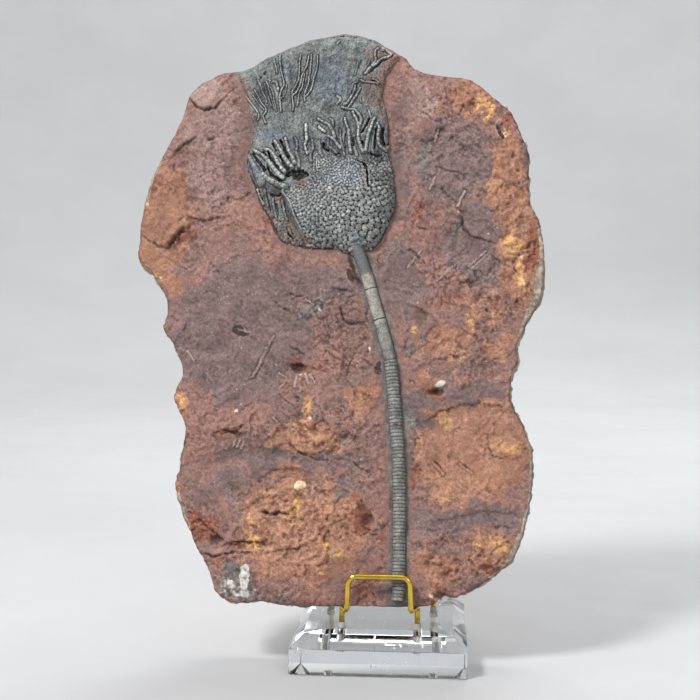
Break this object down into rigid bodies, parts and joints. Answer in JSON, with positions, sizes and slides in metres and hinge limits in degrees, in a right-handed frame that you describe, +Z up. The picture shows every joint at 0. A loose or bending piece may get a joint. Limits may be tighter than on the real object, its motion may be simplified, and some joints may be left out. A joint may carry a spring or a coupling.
{
  "type": "crinoid fossil",
  "caption": "Stone slab with a fossil sea lily in relief, plated cup, arms and ringed stem, leaning on a brass wire easel set in a clear bevelled block.",
  "frame": {"origin": "centre of the clear block's underside, on the surface it stands on", "axes": "+Z up, -Y towards the side that the fossil faces, +X to the right as seen from there"},
  "size_m": [0.2449, 0.1016, 0.3713],
  "materials": {
    "matrix": "rough iron-stained limestone, red-brown with ochre and mauve patches",
    "calyx": "blue-grey calcite plates, matt with a slight sheen",
    "arms": "dark grey calcite with paler arms",
    "stem": "grey-brown ringed calcite",
    "acrylic": "clear polished acrylic with fine scratches",
    "brass": "polished",
    "nylon": "translucent white"
  },
  "bodies": {
    "root": {"matrix_slab": "matrix", "crinoid_calyx": "calyx", "crinoid_arms": "arms", "crinoid_stem": "stem", "acrylic_base": "acrylic", "front_bracket": "brass", "rear_bracket": "brass", "sleeve_front_left": "nylon", "sleeve_front_right": "nylon", "sleeve_rear_left": "nylon", "sleeve_rear_right": "nylon"}
  },
  "joints": []
}
